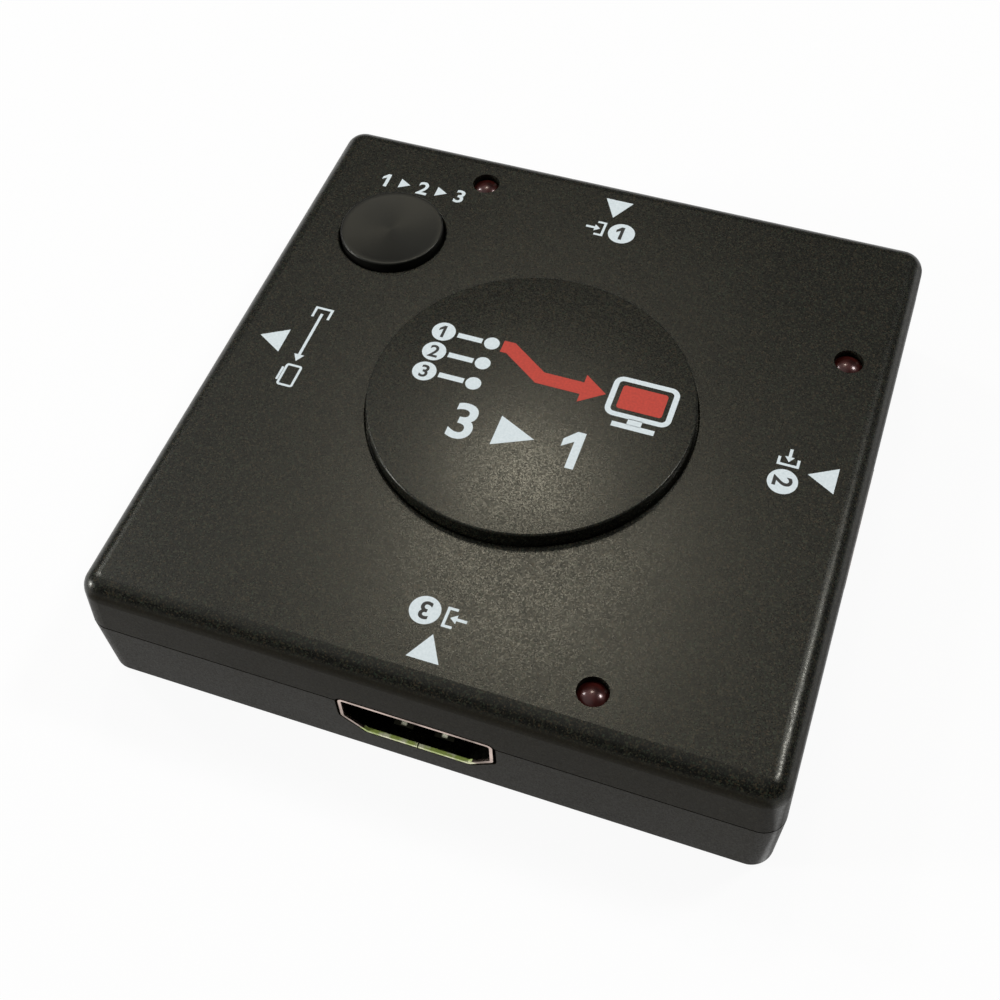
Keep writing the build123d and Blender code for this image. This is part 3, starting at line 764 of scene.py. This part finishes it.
def studio():
    """World with a soft light overhead and behind, dim in front, over a pale horizon."""
    world = bpy.data.worlds.new("studio")
    bpy.context.scene.world = world
    world.use_nodes = True
    sky = world.node_tree

    def spread(source, low, high, to_low, to_high):
        """Map a range of a direction onto a strength."""
        node = sky.nodes.new("ShaderNodeMapRange")
        node.interpolation_type = "SMOOTHSTEP"
        sky.links.new(source, node.inputs["Value"])
        for name, value in (("From Min", low), ("From Max", high), ("To Min", to_low)):
            node.inputs[name].default_value = value
        if isinstance(to_high, bpy.types.NodeSocket):
            sky.links.new(to_high, node.inputs["To Max"])
        else:
            node.inputs["To Max"].default_value = to_high
        return node.outputs["Result"]

    def step(operation, first, second):
        """One arithmetic step."""
        node = sky.nodes.new("ShaderNodeMath")
        node.operation = operation
        for value, socket in zip((first, second), node.inputs):
            if isinstance(value, bpy.types.NodeSocket):
                sky.links.new(value, socket)
            else:
                socket.default_value = value
        return node.outputs["Value"]

    place = sky.nodes.new("ShaderNodeTexCoord")
    split = sky.nodes.new("ShaderNodeSeparateXYZ")
    sky.links.new(place.outputs["Generated"], split.inputs["Vector"])
    right, back, up = split.outputs
    high = step("ADD", up, step("MULTIPLY", back, BEHIND_LEAN))
    behind = spread(high, *BEHIND_SPAN, 0.0, OVERHEAD_GAIN)
    above = step("MAXIMUM", step("SUBTRACT", up, OVERHEAD_START), 0.0)
    above = step("MINIMUM", above, OVERHEAD_LIMIT)
    beside = step("MAXIMUM", step("SUBTRACT", RIGHT_END, right), RIGHT_LEAST)
    dome = step("MULTIPLY", behind, step("MULTIPLY", above, beside))
    dome = step("MINIMUM", step("MAXIMUM", dome, LEAST_STRENGTH), MOST_STRENGTH)
    background = sky.nodes["Background"].inputs
    background["Color"].default_value = (1, 1, 1, 1)
    sky.links.new(spread(up, *HORIZON_SPAN, 1.0, dome), background["Strength"])


studio()

LAMP_AIM = Vector((0, 0, LID_TOP * MM))
LAMP_DISTANCE = 0.9         # metres
NEUTRAL = (1, 1, 1)
WARM = (1, 0.93, 0.8)


def soft_lamp(name, direction, size, power, colour):
    """Square lamp in a direction from the middle of the lid, which it faces."""
    data = bpy.data.lights.new(name, "AREA")
    data.shape = "SQUARE"
    data.size = size
    data.energy = power
    data.color = colour
    lamp = bpy.data.objects.new(name, data)
    lamp.location = LAMP_AIM + Vector(direction).normalized() * LAMP_DISTANCE
    lamp.rotation_euler = (-Vector(direction)).to_track_quat("-Z", "Y").to_euler()
    bpy.context.scene.collection.objects.link(lamp)


soft_lamp("key", (-0.18, 0.49, 0.85), 0.12, 1.15, WARM)
soft_lamp("right", (0.46, 0.4, 0.79), 0.14, 3.2, NEUTRAL)
soft_lamp("left", (-0.66, 0.25, 0.71), 0.1, 1.6, NEUTRAL)
soft_lamp("edge", (-0.9, -0.36, 0.25), 0.16, 5.0, NEUTRAL)

CAMERA_PLACE = Vector((28.4, -81.5, 121.0)) * MM
CAMERA_AIM = Vector((0.78, -11.77, 14.5)) * MM
CAMERA_ROLL = -2.7
CAMERA_CLIP = (0.005, 50.0)
FOCAL_PIXELS = 1406.0
FRAME_PIXELS = 1000.0
SENSOR_WIDTH = 36.0

camera_data = bpy.data.cameras.new("camera")
camera_data.sensor_width = SENSOR_WIDTH
camera_data.lens = FOCAL_PIXELS / FRAME_PIXELS * SENSOR_WIDTH
camera_data.clip_start, camera_data.clip_end = CAMERA_CLIP
camera = bpy.data.objects.new("camera", camera_data)
camera.rotation_mode = "QUATERNION"
camera.location = CAMERA_PLACE
looking = (CAMERA_AIM - CAMERA_PLACE).to_track_quat("-Z", "Y")
roll = Matrix.Rotation(math.radians(CAMERA_ROLL), 3, "Z").to_quaternion()
camera.rotation_quaternion = looking @ roll
bpy.context.scene.collection.objects.link(camera)
bpy.context.scene.camera = camera
bpy.context.scene.view_settings.view_transform = "Standard"
